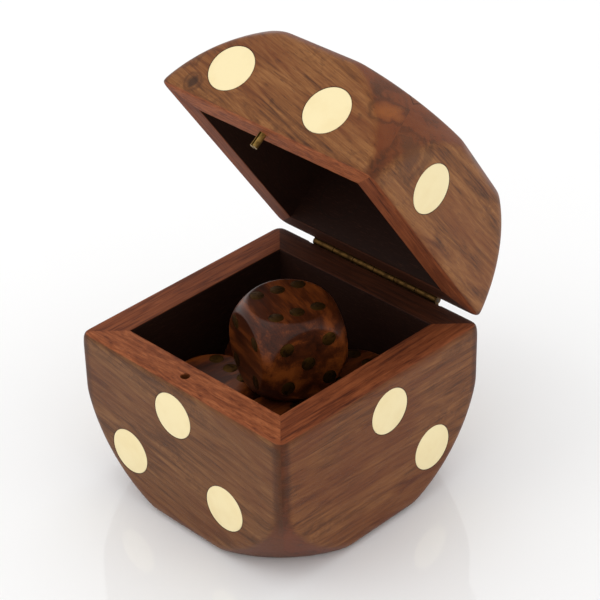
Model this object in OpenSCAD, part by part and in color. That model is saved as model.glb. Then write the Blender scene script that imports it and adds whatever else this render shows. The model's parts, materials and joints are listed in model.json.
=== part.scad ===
// Dice box: a wooden cube made like one large die, with a hinged lid and five wooden dice inside.
// It stands on its resting face with Z up, the hinge at +Y and the catch at -Y.
// The origin is the middle of the resting face. The lid is drawn open by lid_open.

/* [Box] */
// Outside length, width and height of the closed box
box_side = 100; // [96:1:106]
// Height of the base's rim above the resting face
rim_z = 64; // [60:0.2:68]
// Gap between the two rims when the lid is shut
rim_gap = 0.5; // [0.4:0.1:1]
// Thickness of the side walls of the base and of the lid
wall = 12.8; // [11:0.2:13.4]
// Thickness of the floor panel
floor_t = 12; // [8:0.5:13]
// Thickness of the lid's top panel
top_t = 12; // [8:0.5:13]
// Angle that the lid stands open
lid_open = 55.2; // [0:0.2:150]

/* [Outside rounding] */
// Depth sanded off each ball corner, along the cube's diagonal
corner_cut = 15.8; // [14:0.1:17]
// Depth sanded off the upright edges
upright_edge_cut = 1.2; // [0.4:0.1:2]
// Depth sanded off the level edges
level_edge_cut = 1.6; // [0.8:0.1:3]

/* [Spots on the box] */
// Diameter of a spot
spot_d = 17.6; // [14:0.2:18]
// Thickness of a spot
spot_t = 2; // [1.5:0.1:3]
// Clearance round a spot in its pocket
spot_fit = 0.05; // [0.02:0.01:0.1]
// Height of the lower spots' middle above the resting face
low_spot_z = 23; // [18:0.1:24]
// Distance of the lid's spots' middle below the top
lid_spot_drop = 21.2; // [18:0.1:22]
// Distance of the rear lid spot above the hinge's leaf
leaf_spot_gap = 0.6; // [0.4:0.1:2]
// Distance of the middle spots' centre below the base's rim
rim_spot_drop = 13.4; // [11:0.1:16]
// Half the spacing of the spots on the front of the base
front_base_pitch = 24.2; // [20:0.1:26]
// Half the spacing of the spots on the front of the lid
front_lid_pitch = 22.3; // [20:0.1:26]
// Half the spacing of the spots on the other sides
side_pitch = 22.4; // [20:0.1:26]
// Distance of the top's end spots from the edge of its panel
top_spot_edge = 2.4; // [1:0.1:6]
// Distance of the front and right patterns' middle from the middle of their side
spot_shift = 2.8; // [0:0.1:4]

/* [Hinge] */
// Length of the hinge
hinge_len = 61; // [50:1:70]
// Sideways place of the hinge's middle
hinge_x = -0.9; // [-3:0.1:3]
// Number of knuckles, shared by the two leaves in turn
knuckles = 6; // [4:2:8]
// Diameter of the hinge's barrel
barrel_d = 3; // [2.6:0.1:3.4]
// Distance of the barrel's axis behind the box's rear side
axis_back = 0.45; // [0.4:0.05:0.6]
// Diameter of the hinge pin
pin_d = 1.4; // [1:0.1:1.6]
// Clearance round the pin in the knuckles
pin_fit = 0.05; // [0.03:0.01:0.08]
// Clearance beside each knuckle
knuckle_gap = 0.15; // [0.1:0.05:0.3]
// Thickness of a hinge leaf
leaf_t = 0.8; // [0.6:0.1:0.9]
// Height of a hinge leaf, from the barrel's axis
leaf_h = 6; // [5.6:0.1:8]
// Clearance round the barrel in the wood and in the facing leaf
barrel_clear = 0.3; // [0.25:0.05:0.5]
// Length of the barrel's groove beyond each end of the hinge
groove_over = 2.5; // [1:0.5:4]

/* [Hinge screws] */
// Number of screws in each leaf
screws = 3; // [2:1:4]
// Diameter of a screw's head
screw_head_d = 3.2; // [2.6:0.1:3.6]
// Diameter of a screw's shank
screw_d = 1.6; // [1.2:0.1:1.8]
// Length of a screw from the face of its head
screw_len = 8; // [5:0.5:10]
// Distance of a screw's head from the edge of its leaf
screw_edge = 0.7; // [0.4:0.1:1]
// Clearance round a screw
screw_fit = 0.05; // [0.02:0.01:0.1]

/* [Catch] */
// Diameter of the split catch pin
catch_d = 2.8; // [2.2:0.1:3.2]
// Length of the catch pin below the lid's rim
catch_out = 5.5; // [4:0.5:7]
// Length of the catch pin inside the lid's wall
catch_in = 9; // [6:0.5:12]
// Width of the slit between the catch pin's two prongs
catch_slit = 0.6; // [0.4:0.1:0.8]
// Clearance round the catch pin in the base's hole
catch_clear = 0.35; // [0.3:0.05:0.5]
// Clearance round the catch pin in the lid's wall
catch_seat = 0.05; // [0.02:0.01:0.1]
// Sideways place of the catch
catch_x = -2.5; // [-6:0.5:6]
// Distance of the catch from the box's front side
catch_inset = 6.6; // [5:0.1:8]
// Space under the tip of the catch pin in its hole
catch_tip_gap = 1; // [0.5:0.1:2]

/* [Dice] */
// Play left across the inside of the box by two dice side by side
die_play = 8.4; // [6.6:0.1:10]
// Distance that the ball which rounds a die's corners reaches beyond its flat faces
die_ball_over = 5.3; // [4.8:0.1:5.8]
// Diameter of a die's pip
pip_d = 5.3; // [4:0.1:6]
// Thickness of a die's pip
pip_t = 1; // [0.6:0.1:1.5]
// Distance of the outer pips from the edge of a face's round flat
pip_edge = 0.3; // [0.2:0.1:1]
// Clearance round a pip in its pocket
pip_fit = 0.03; // [0.02:0.01:0.08]
// Gap between the dice on the floor and the walls beside them
die_wall_gap = 0.4; // [0.3:0.1:0.6]
// Gap between the die at the rear left and the rear wall
rear_left_gap = 2.6; // [2:0.1:3]
// Sideways and forward place of the die on top
top_die_at = [5.2, -1.2]; // [-8:0.1:8]

/* [Hidden] */
$fn = 96;

// Overlap that lets a cut run past a face
past = 1;

half = box_side / 2;
cavity = box_side - 2 * wall;
lid_rim_z = rim_z + rim_gap;
hinge_y = half + axis_back;
hinge_z = rim_z + rim_gap / 2;

// Radii of the ball and of the three drums that the cube is sanded down to
corner_r = half * sqrt(3) - corner_cut;
upright_r = half * sqrt(2) - upright_edge_cut;
level_r = half * sqrt(2) - level_edge_cut;

// Turn about Z that brings the front side to each of the other sides
FRONT = 0;
RIGHT = 90;
REAR = 180;
LEFT = 270;

// Places of the spots on each side, as distance to the right and height, seen from outside
mid_spot_z = rim_z - rim_spot_drop;
lid_spot_z = box_side - lid_spot_drop;
front_base_at = [
    [-spot_shift, mid_spot_z],
    [-spot_shift - front_base_pitch, low_spot_z],
    [-spot_shift + front_base_pitch, low_spot_z]
];
front_lid_at = [for (i = [-1, 1]) [-spot_shift + i * front_lid_pitch, lid_spot_z]];
right_base_at = [[spot_shift, mid_spot_z], [spot_shift + side_pitch, low_spot_z]];
right_lid_at = [[spot_shift - side_pitch, lid_spot_z]];
rear_base_at = [[-side_pitch, low_spot_z]];
rear_lid_at = [[side_pitch, hinge_z + leaf_h + leaf_spot_gap + spot_d / 2]];
left_base_at = [for (i = [-1, 1]) [i * side_pitch, low_spot_z]];
left_lid_at = [for (i = [-1, 1]) [i * side_pitch, lid_spot_z]];
top_row_pitch = cavity / 2 - top_spot_edge - spot_d / 2;
top_at = [for (i = [-1, 1], j = [-1, 0, 1]) [i * side_pitch, j * top_row_pitch]];
bottom_at = [[0, 0]];

knuckle_pitch = hinge_len / knuckles;
hinge_start = hinge_x - hinge_len / 2;
groove_r = barrel_d / 2 + barrel_clear;
screw_pitch = hinge_len / screws;
screw_drop = leaf_h - screw_edge - screw_head_d / 2;

catch_y = -half + catch_inset;

// Turns of the dice about Z, clockwise seen from above
front_left_turn = 6;
front_right_turn = -3;
rear_left_turn = -4;
rear_right_turn = 3;
top_die_turn = 20;

die_side = (cavity - die_play) / 2;
die_half = die_side / 2;
die_ball_r = die_half + die_ball_over;
die_flat_r = sqrt(pow(die_ball_r, 2) - pow(die_half, 2));
pip_pitch = (die_flat_r - pip_edge - pip_d / 2) / sqrt(2);

// Distance from a turned die's middle to its furthest reach along X or Y
function die_reach(turn) = die_half * cos(turn) + die_flat_r * sin(abs(turn));

// Distance of a die's middle from the box's middle, with a gap to the wall beside it
function die_place(turn, gap) = cavity / 2 - gap - die_reach(turn);

// The die at the front left lies a little nearer the middle, beside the one at the right
front_right_at = [die_place(front_right_turn, die_wall_gap), -die_place(front_right_turn, 2 * die_wall_gap)];
front_left_at = [
    front_right_at[0] - die_reach(front_right_turn) - die_reach(front_left_turn) - die_wall_gap / 2,
    -die_place(front_left_turn, die_wall_gap)
];
rear_left_at = [-die_place(rear_left_turn, 4 * die_wall_gap), die_place(rear_left_turn, rear_left_gap)];
rear_right_at = [die_place(rear_right_turn, 3 * die_wall_gap), die_place(rear_right_turn, rear_left_gap)];

module dark_wood() { color([0.40, 0.25, 0.15]) children(); }
module red_wood() { color([0.50, 0.25, 0.13]) children(); }
module pale_inlay() { color([0.93, 0.84, 0.64]) children(); }
module brass() { color([0.80, 0.62, 0.28]) children(); }
module steel() { color([0.55, 0.55, 0.57]) children(); }
module die_wood() { color([0.62, 0.27, 0.10]) children(); }
module pip_brass() { color([0.55, 0.45, 0.20]) children(); }

// Opens what is drawn on a shut lid
module with_lid() {
    translate([0, hinge_y, hinge_z]) rotate([-lid_open, 0, 0]) translate([0, -hinge_y, -hinge_z]) children();
}

// The cube with its corners and edges sanded round
module sanded_cube() {
    intersection() {
        translate([-half, -half, 0]) cube(box_side);
        translate([0, 0, half]) sphere(r = corner_r, $fn = 180);
        translate([0, 0, -past]) cylinder(h = box_side + 2 * past, r = upright_r, $fn = 180);
        translate([-half - past, 0, half]) rotate([0, 90, 0])
            cylinder(h = box_side + 2 * past, r = level_r, $fn = 180);
        translate([0, half + past, half]) rotate([90, 0, 0])
            cylinder(h = box_side + 2 * past, r = level_r, $fn = 180);
    }
}

// The space of one side wall, mitred at both ends, between two heights
module wall_space(side, z0, z1) {
    inner = half - wall;
    rotate([0, 0, side]) translate([0, 0, z0])
        linear_extrude(height = z1 - z0)
            polygon([[-half, -half], [half, -half], [inner, -inner], [-inner, -inner]]);
}

// Discs set into one side, from its face to the given depth
module side_discs(side, places, r, depth) {
    rotate([0, 0, side])
        for (p = places) translate([p[0], -half + depth, p[1]]) rotate([90, 0, 0])
            cylinder(h = depth, r = r);
}

// The pockets for those discs, open at the face
module side_pockets(side, places) {
    rotate([0, 0, side])
        for (p = places) translate([p[0], -half + spot_t, p[1]]) rotate([90, 0, 0])
            cylinder(h = spot_t + past, r = spot_d / 2 + spot_fit);
}

module base_wall(side, places) {
    dark_wood() difference() {
        intersection() {
            sanded_cube();
            wall_space(side, 0, rim_z);
        }
        side_pockets(side, places);
        children();
    }
}

module lid_wall(side, places) {
    with_lid() dark_wood() difference() {
        intersection() {
            sanded_cube();
            wall_space(side, lid_rim_z, box_side);
        }
        side_pockets(side, places);
        children();
    }
}

// The groove that clears the hinge's barrel along the rear edges of both rims
module barrel_groove() {
    translate([hinge_start - groove_over, hinge_y, hinge_z]) rotate([0, 90, 0])
        cylinder(h = hinge_len + 2 * groove_over, r = groove_r);
}

// A round bar along the pin's axis, from one distance along the hinge to another
module along_axis(from, to, r) {
    translate([hinge_start + from, hinge_y, hinge_z]) rotate([0, 90, 0]) cylinder(h = to - from, r = r);
}

// Places something at each screw of a leaf, with the screw's length along +Z
module at_screws(up) {
    for (i = [0:screws - 1])
        translate([hinge_start + (i + 0.5) * screw_pitch, half + leaf_t, hinge_z + up * screw_drop])
            rotate([90, 0, 0]) children();
}

// A countersunk screw, or with a clearance its hole
module screw_form(clear) {
    cylinder(h = leaf_t, r1 = screw_head_d / 2 + clear, r2 = screw_d / 2 + clear, $fn = 48);
    cylinder(h = screw_len + clear, r = screw_d / 2 + clear, $fn = 48);
}

// One hinge leaf: up is 1 for the lid's and -1 for the base's; first is the number of its first knuckle
module hinge_leaf(up, first) {
    brass() difference() {
        union() {
            difference() {
                translate([hinge_start, half, up > 0 ? hinge_z : hinge_z - leaf_h])
                    cube([hinge_len, leaf_t, leaf_h]);
                for (k = [1 - first:2:knuckles - 1])
                    along_axis(k * knuckle_pitch - knuckle_gap, (k + 1) * knuckle_pitch + knuckle_gap, groove_r);
            }
            for (k = [first:2:knuckles - 1])
                along_axis(
                    k * knuckle_pitch + (k == 0 ? 0 : knuckle_gap),
                    (k + 1) * knuckle_pitch - (k == knuckles - 1 ? 0 : knuckle_gap),
                    barrel_d / 2
                );
        }
        along_axis(-past, hinge_len + past, pin_d / 2 + pin_fit);
        at_screws(up) screw_form(screw_fit);
    }
}

// Offsets of the pips on a face that counts n
function pip_places(n) =
    n == 1 ? [[0, 0]] :
    n == 2 ? [[-1, -1], [1, 1]] :
    n == 3 ? [[-1, -1], [0, 0], [1, 1]] :
    n == 4 ? [[-1, -1], [-1, 1], [1, -1], [1, 1]] :
    n == 5 ? [[-1, -1], [-1, 1], [0, 0], [1, -1], [1, 1]] :
    [for (i = [-1, 1], j = [-1, 0, 1]) [i, j]];

// Places a pip's shape on every face of a die: six on top, one below, five and two at +X and -X,
// four and three at -Y and +Y. The shape's open end points outwards.
module at_pips() {
    faces = [[6, [0, 0, 0]], [1, [180, 0, 0]], [5, [0, 90, 0]], [2, [0, -90, 0]], [4, [90, 0, 0]], [3, [-90, 0, 0]]];
    for (f = faces) rotate(f[1])
        for (p = pip_places(f[0]))
            translate([p[0] * pip_pitch, p[1] * pip_pitch, die_half - pip_t]) children();
}

module die_wood_body() {
    die_wood() difference() {
        intersection() {
            cube(die_side, center = true);
            sphere(r = die_ball_r, $fn = 120);
        }
        at_pips() cylinder(h = pip_t + past, r = pip_d / 2 + pip_fit, $fn = 32);
    }
}

module die_pips() {
    pip_brass() at_pips() cylinder(h = pip_t, r = pip_d / 2, $fn = 32);
}

// Sets a die down at a place, turned clockwise, with its bottom at a height
module die_at(place, turn, z) {
    translate([place[0], place[1], z + die_half]) rotate([0, 0, -turn]) children();
}

// A die on the floor has its rows of three along X
module floor_die_at(place, turn) {
    die_at(place, turn, floor_t) rotate([0, 0, 90]) children();
}

module top_die_place() {
    die_at(top_die_at, top_die_turn, floor_t + die_side) children();
}

module base_front_wall() {
    base_wall(FRONT, front_base_at)
        translate([catch_x, catch_y, rim_z - catch_out - catch_tip_gap])
            cylinder(h = catch_out + catch_tip_gap + past, r = catch_d / 2 + catch_clear, $fn = 48);
}
module base_right_wall() { base_wall(RIGHT, right_base_at); }
module base_rear_wall() {
    base_wall(REAR, rear_base_at) {
        barrel_groove();
        at_screws(-1) screw_form(screw_fit);
    }
}
module base_left_wall() { base_wall(LEFT, left_base_at); }
module base_floor() {
    red_wood() difference() {
        intersection() {
            sanded_cube();
            translate([-cavity / 2, -cavity / 2, 0]) cube([cavity, cavity, floor_t]);
        }
        for (p = bottom_at) translate([p[0], p[1], -past]) cylinder(h = spot_t + past, r = spot_d / 2 + spot_fit);
    }
}

module base_front_spots() { pale_inlay() side_discs(FRONT, front_base_at, spot_d / 2, spot_t); }
module base_right_spots() { pale_inlay() side_discs(RIGHT, right_base_at, spot_d / 2, spot_t); }
module base_rear_spot() { pale_inlay() side_discs(REAR, rear_base_at, spot_d / 2, spot_t); }
module base_left_spots() { pale_inlay() side_discs(LEFT, left_base_at, spot_d / 2, spot_t); }
module base_bottom_spot() {
    pale_inlay() for (p = bottom_at) translate([p[0], p[1], 0]) cylinder(h = spot_t, r = spot_d / 2);
}

module lid_front_wall() {
    lid_wall(FRONT, front_lid_at)
        translate([catch_x, catch_y, lid_rim_z - past])
            cylinder(h = catch_in + past, r = catch_d / 2 + catch_seat, $fn = 48);
}
module lid_right_wall() { lid_wall(RIGHT, right_lid_at); }
module lid_rear_wall() {
    lid_wall(REAR, rear_lid_at) {
        barrel_groove();
        at_screws(1) screw_form(screw_fit);
    }
}
module lid_left_wall() { lid_wall(LEFT, left_lid_at); }
module lid_top_panel() {
    with_lid() red_wood() difference() {
        intersection() {
            sanded_cube();
            translate([-cavity / 2, -cavity / 2, box_side - top_t]) cube([cavity, cavity, top_t]);
        }
        for (p = top_at) translate([p[0], p[1], box_side - spot_t])
            cylinder(h = spot_t + past, r = spot_d / 2 + spot_fit);
    }
}

module lid_front_spots() { with_lid() pale_inlay() side_discs(FRONT, front_lid_at, spot_d / 2, spot_t); }
module lid_right_spot() { with_lid() pale_inlay() side_discs(RIGHT, right_lid_at, spot_d / 2, spot_t); }
module lid_rear_spot() { with_lid() pale_inlay() side_discs(REAR, rear_lid_at, spot_d / 2, spot_t); }
module lid_left_spots() { with_lid() pale_inlay() side_discs(LEFT, left_lid_at, spot_d / 2, spot_t); }
module lid_top_spots() {
    with_lid() pale_inlay()
        for (p = top_at) translate([p[0], p[1], box_side - spot_t]) cylinder(h = spot_t, r = spot_d / 2);
}

module hinge_base_leaf() { hinge_leaf(-1, 0); }
module hinge_lid_leaf() { with_lid() hinge_leaf(1, 1); }
module hinge_pin() { steel() along_axis(0, hinge_len, pin_d / 2); }
module hinge_base_screws() { brass() at_screws(-1) screw_form(0); }
module hinge_lid_screws() { with_lid() brass() at_screws(1) screw_form(0); }

// The split pin: a round shank in the lid's wall, slit into two prongs below the rim
module catch_pin() {
    with_lid() brass() difference() {
        translate([catch_x, catch_y, lid_rim_z - catch_out])
            cylinder(h = catch_out + catch_in, r = catch_d / 2, $fn = 48);
        translate([catch_x - catch_slit / 2, catch_y - catch_d, lid_rim_z - catch_out - past])
            cube([catch_slit, 2 * catch_d, catch_out + past]);
    }
}

module die_front_left() { floor_die_at(front_left_at, front_left_turn) die_wood_body(); }
module die_front_right() { floor_die_at(front_right_at, front_right_turn) die_wood_body(); }
module die_rear_left() { floor_die_at(rear_left_at, rear_left_turn) die_wood_body(); }
module die_rear_right() { floor_die_at(rear_right_at, rear_right_turn) die_wood_body(); }
module die_top() { top_die_place() die_wood_body(); }

module pips_front_left() { floor_die_at(front_left_at, front_left_turn) die_pips(); }
module pips_front_right() { floor_die_at(front_right_at, front_right_turn) die_pips(); }
module pips_rear_left() { floor_die_at(rear_left_at, rear_left_turn) die_pips(); }
module pips_rear_right() { floor_die_at(rear_right_at, rear_right_turn) die_pips(); }
module pips_top() { top_die_place() die_pips(); }

base_front_wall();
base_right_wall();
base_rear_wall();
base_left_wall();
base_floor();
base_front_spots();
base_right_spots();
base_rear_spot();
base_left_spots();
base_bottom_spot();
lid_front_wall();
lid_right_wall();
lid_rear_wall();
lid_left_wall();
lid_top_panel();
lid_front_spots();
lid_right_spot();
lid_rear_spot();
lid_left_spots();
lid_top_spots();
hinge_base_leaf();
hinge_lid_leaf();
hinge_pin();
hinge_base_screws();
hinge_lid_screws();
catch_pin();
die_front_left();
die_front_right();
die_rear_left();
die_rear_right();
die_top();
pips_front_left();
pips_front_right();
pips_rear_left();
pips_rear_right();
pips_top();
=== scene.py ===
"""Looks of a dice box: a wooden cube made like one large die, with a hinged lid and five wooden dice."""
import json
import logging
import math
from contextlib import contextmanager
from dataclasses import dataclass, field, replace
from enum import Enum, IntEnum
from functools import reduce
from typing import Any, ClassVar, Iterator, Mapping, Sequence, Union

import bmesh
import bpy
from mathutils import Euler, Matrix, Vector

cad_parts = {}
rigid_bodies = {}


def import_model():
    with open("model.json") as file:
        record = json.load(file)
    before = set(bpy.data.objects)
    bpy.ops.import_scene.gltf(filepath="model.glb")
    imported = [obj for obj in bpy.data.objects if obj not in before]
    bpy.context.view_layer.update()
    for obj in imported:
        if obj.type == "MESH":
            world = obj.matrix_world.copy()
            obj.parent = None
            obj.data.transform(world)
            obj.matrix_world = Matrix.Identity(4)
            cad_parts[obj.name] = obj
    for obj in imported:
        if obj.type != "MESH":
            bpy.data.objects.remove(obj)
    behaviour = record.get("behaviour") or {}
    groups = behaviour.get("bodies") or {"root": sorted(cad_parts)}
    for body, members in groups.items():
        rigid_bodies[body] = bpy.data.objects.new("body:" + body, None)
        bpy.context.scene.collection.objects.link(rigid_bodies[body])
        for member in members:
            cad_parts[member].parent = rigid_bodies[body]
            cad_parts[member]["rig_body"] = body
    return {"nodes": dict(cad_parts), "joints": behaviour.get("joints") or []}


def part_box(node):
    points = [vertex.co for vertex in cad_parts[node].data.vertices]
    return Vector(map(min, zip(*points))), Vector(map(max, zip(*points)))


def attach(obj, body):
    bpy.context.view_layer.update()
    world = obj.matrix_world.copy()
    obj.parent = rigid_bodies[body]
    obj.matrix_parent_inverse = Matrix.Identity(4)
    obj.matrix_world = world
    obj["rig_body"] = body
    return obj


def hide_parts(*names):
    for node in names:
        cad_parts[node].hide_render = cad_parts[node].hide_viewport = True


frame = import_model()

LOG = logging.getLogger("dice_box")
MM = 0.001
UP = Vector((0, 0, 1))
ORIGIN = Vector((0, 0, 0))
UNTURNED = (0.0, 0.0, 0.0)
WHITE = (1.0, 1.0, 1.0, 1.0)
NOISE_MIDDLE = 0.5
WELD_GAP = 1e-6
SORT_DIGITS = 5
Colour = tuple[float, float, float]
Span = tuple[float, float]
Piece = bpy.types.Object


def linear(red: int, green: int, blue: int) -> Colour:
    """Turns a colour as it shows on a screen into the linear one that a shader takes.

    Args:
        red, green, blue: the colour's parts, from 0 to 255.

    Returns:
        The three linear parts, from 0 to 1.
    """
    parts = [value / 255 for value in (red, green, blue)]
    return tuple(p / 12.92 if p <= 0.04045 else ((p + 0.055) / 1.055) ** 2.4 for p in parts)


class Side(Enum):
    """The box's four upright sides, each by the direction that it faces."""

    FRONT = (0, -1)
    RIGHT = (1, 0)
    REAR = (0, 1)
    LEFT = (-1, 0)

    @property
    def out(self) -> Vector:
        """The direction that the side faces."""
        return Vector((*self.value, 0))

    @property
    def along(self) -> Vector:
        """The level direction along the side, to the right seen from outside."""
        return UP.cross(self.out)


class Grain(Enum):
    """The direction of a board's grain, as the axis that its streaks run along."""

    X = 0
    Y = 1


class Facets(IntEnum):
    """How many sides a round form is made with, from the box's own rounding to a screw's shank."""

    SHELL = 192
    SPOT = 128
    GROOVE = 64
    BORE = 48
    PIP = 40
    SHANK = 32


class Wire:
    """A node's output that takes part in sums, each of which adds a Math node."""

    def __init__(self, shader: "Shader", maker: bpy.types.Node, output: Union[str, int] = 0) -> None:
        """Holds the shader, the node and the output's name or number.

        Args:
            shader: the tree that sums are added to.
            maker: the node that the output belongs to.
            output: the output.
        """
        self.shader = shader
        self.maker = maker
        self.output = output

    @property
    def socket(self) -> bpy.types.NodeSocket:
        """The output's socket."""
        return self.maker.outputs[self.output]

    def _math(self, operation: str, *terms: Any) -> "Wire":
        """Adds a Math node that works on the given terms."""
        return self.shader.node("ShaderNodeMath", {"operation": operation}, dict(enumerate(terms)))

    def __add__(self, other: Any) -> "Wire":
        """This plus other."""
        return self._math("ADD", self, other)

    __radd__ = __add__

    def __sub__(self, other: Any) -> "Wire":
        """This less other."""
        return self._math("SUBTRACT", self, other)

    def __rsub__(self, other: Any) -> "Wire":
        """Other less this."""
        return self._math("SUBTRACT", other, self)

    def __mul__(self, other: Any) -> "Wire":
        """This times other."""
        return self._math("MULTIPLY", self, other)

    __rmul__ = __mul__

    def __abs__(self) -> "Wire":
        """This without its sign."""
        return self._math("ABSOLUTE", self)

    def root(self) -> "Wire":
        """The square root of this."""
        return self._math("SQRT", self)

    def higher(self, other: Any) -> "Wire":
        """The higher of this and other."""
        return self._math("MAXIMUM", self, other)

    def step(self, start: float, end: float) -> "Wire":
        """Goes smoothly from 0 where this is start to 1 where it is end."""
        inputs = {"Value": self, "From Min": start, "From Max": end}
        return self.shader.node("ShaderNodeMapRange", {"interpolation_type": "SMOOTHSTEP"}, inputs)


class Shader:
    """The node tree of one material or world, built by one method that adds any node."""

    MIXED_COLOUR = 2

    def __init__(self, holder: Union[bpy.types.Material, bpy.types.World]) -> None:
        """Opens a holder's tree and empties it.

        Args:
            holder: the new material or world.
        """
        holder.use_nodes = True
        self.holder = holder
        self.tree = holder.node_tree
        self.tree.nodes.clear()

    def node(
        self,
        kind: str,
        settings: Mapping[str, Any] | None = None,
        inputs: Mapping[Union[str, int], Any] | None = None,
        output: Union[str, int] = 0,
    ) -> Wire:
        """Adds a node.

        Args:
            kind: the node's type.
            settings: its settings, with a ramp's stops as a list of position and colour.
            inputs: what each socket takes, a number, a colour or a wire.
            output: the output that is passed on.

        Returns:
            The chosen output.
        """
        made = self.tree.nodes.new(kind)
        for key, value in (settings or {}).items():
            if key == "stops":
                self._fill_ramp(made.color_ramp, value)
            else:
                setattr(made, key, value)
        for key, value in (inputs or {}).items():
            if isinstance(value, Wire):
                self.tree.links.new(value.socket, made.inputs[key])
            else:
                made.inputs[key].default_value = value
        return Wire(self, made, output)

    @staticmethod
    def _fill_ramp(ramp: bpy.types.ColorRamp, stops: Sequence[tuple[float, Colour]]) -> None:
        """Gives a ramp its stops.

        Args:
            ramp: the ramp, which starts with two stops.
            stops: position and colour of each stop, two or more.
        """
        while len(ramp.elements) < len(stops):
            ramp.elements.new(1.0)
        for element, (position, colour) in zip(ramp.elements, stops):
            element.position = position
            element.color = (*colour, 1)

    def ramp(self, figure: Wire, positions: Sequence[float], colours: Sequence[Colour]) -> Wire:
        """Colours laid over a figure, each at its own position."""
        return self.node("ShaderNodeValToRGB", {"stops": list(zip(positions, colours))}, {"Fac": figure})

    def mix(self, share: Any, first: Any, second: Any) -> Wire:
        """Mixes two colours.

        Args:
            share: how much of the second, from 0 to 1.
            first, second: colours or wires.

        Returns:
            The mixed colour.
        """
        colours = [c if isinstance(c, Wire) else (*c, 1) for c in (first, second)]
        settings = {"data_type": "RGBA", "blend_type": "MIX", "clamp_factor": True}
        inputs = {0: share, 6: colours[0], 7: colours[1]}
        return self.node("ShaderNodeMix", settings, inputs, self.MIXED_COLOUR)

    def local(self, seat: Matrix) -> Wire:
        """Coordinates in millimetres on a piece as it was built, before it was set in its seat.

        Args:
            seat: the turn and place that the piece was given.

        Returns:
            The coordinates as a vector.
        """
        back = seat.inverted()
        where = self.node("ShaderNodeTexCoord", output="Object")
        inputs = {
            "Vector": where,
            "Location": back.translation / MM,
            "Rotation": back.to_euler(),
            "Scale": (1 / MM,) * 3,
        }
        return self.node("ShaderNodeMapping", {"vector_type": "POINT"}, inputs)

    def parts(self, vector: Wire) -> tuple[Wire, Wire, Wire]:
        """The three parts of a vector."""
        split = self.node("ShaderNodeSeparateXYZ", None, {"Vector": vector})
        return tuple(Wire(self, split.maker, axis) for axis in range(3))

    def stretch(self, vector: Wire, scale: Sequence[float], turn: Sequence[float], shift: float) -> Wire:
        """Turns, shifts and stretches coordinates for a pattern.

        Args:
            vector: the coordinates.
            scale: pattern repeats per millimetre on each axis.
            turn: turn about each axis in radians, made before the stretch.
            shift: how far the pattern is moved, in repeats, on every axis.

        Returns:
            The pattern's coordinates.
        """
        turned = self.node("ShaderNodeMapping", None, {"Vector": vector, "Rotation": Euler(turn)})
        inputs = {"Vector": turned, "Scale": scale, "Location": (shift,) * 3}
        return self.node("ShaderNodeMapping", None, inputs)

    def noise(self, vector: Wire, detail: float, rough: float, bend: float) -> Wire:
        """Noise that runs from 0 to 1, one repeat of its coordinates at a time."""
        inputs = {"Vector": vector, "Scale": 1, "Detail": detail, "Roughness": rough, "Distortion": bend}
        return self.node("ShaderNodeTexNoise", None, inputs)

    def bump(self, height: Wire, depth: float) -> Wire:
        """A normal from a height between 0 and 1, over a depth in metres."""
        return self.node("ShaderNodeBump", None, {"Height": height, "Distance": depth, "Strength": 1})

    def finish(self, **sockets: Any) -> bpy.types.Material:
        """Ends a material with one Principled shader.

        Args:
            sockets: its inputs, with _ for a space in their names.

        Returns:
            The material.
        """
        inputs = {name.replace("_", " "): value for name, value in sockets.items()}
        self.show(self.node("ShaderNodeBsdfPrincipled", None, inputs))
        return self.holder

    def show(self, surface: Wire, kind: str = "ShaderNodeOutputMaterial") -> None:
        """Links a surface to an output node, which it adds."""
        self.node(kind, None, {"Surface": surface})


@dataclass(frozen=True)
class Figure:
    """One layer of noise: its length along the grain, its width across it in millimetres, and its kind."""

    long: float
    wide: float
    shift: float
    detail: float
    rough: float = 0.55
    bend: float = 0.0
    deep: float | None = None

    def draw(self, shader: Shader, where: Wire, seed: float = 0.0, grain: Grain = Grain.X,
             turn: Sequence[float] = UNTURNED) -> Wire:
        """Draws the noise.

        Args:
            shader: the material that it is for.
            where: the coordinates that it lies on.
            seed: moves it, so that no two pieces are alike.
            grain: the axis that it is stretched along.
            turn: turn about each axis in radians.

        Returns:
            The noise, from 0 to 1.
        """
        scale = [1 / self.wide, 1 / self.wide, 1 / (self.deep or self.wide)]
        scale[grain.value] = 1 / self.long
        pattern = shader.stretch(where, scale, turn, seed + self.shift)
        return shader.noise(pattern, self.detail, self.rough, self.bend)


@dataclass(frozen=True)
class Tones:
    """The colours of one board: its streaks from dark to light, and the red of its rounded places."""

    dark: Colour
    middle: Colour
    light: Colour
    red: Colour


RIM = Tones(linear(88, 40, 20), linear(130, 68, 36), linear(160, 92, 54), linear(120, 56, 30))
DEEP_RIM = Tones(linear(70, 30, 14), linear(110, 54, 27), linear(138, 74, 40), linear(104, 48, 24))
# Painted shade: darker rim tones for the base's and the lid's rear walls, standing for the shade at the
# hinge under the open lid.
SHADED_RIM = Tones(linear(40, 18, 9), linear(62, 29, 14), linear(84, 42, 22), linear(60, 28, 14))


@dataclass(frozen=True)
class Board:
    """Where a board lies: the way it faces, its outer plane, thickness, rim and seat, in millimetres.

    A rim is its height and the way it looks, +1 for up and -1 for down.
    """

    face: Vector
    plane: float
    thick: float
    seat: Matrix
    rim: tuple[float, int] | None
    spots: Sequence[Vector]
    spot_r: float

    @property
    def along(self) -> Vector:
        """The level direction along the board."""
        return UP.cross(self.face)

    def across(self, place: Sequence[Any]) -> list[Any]:
        """The two coordinates that lie in the board's face."""
        return [part for part, way in zip(place, self.face) if not round(way)]


@dataclass(frozen=True)
class Eye:
    """A knot: its middle on the face as two coordinates in millimetres, its radius and its colour.

    Its core, ring and wander are shares of the radius, and ring_fade is in millimetres.
    """

    middle: tuple[float, float]
    radius: float
    tint: Colour
    core: float = 0.3
    wander: float = 1.6
    ring: float = 1.05
    ring_width: float = 0.3
    ring_fade: float = 0.1
    strength: float = 0.8
    ring_strength: float = 0.5


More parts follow.
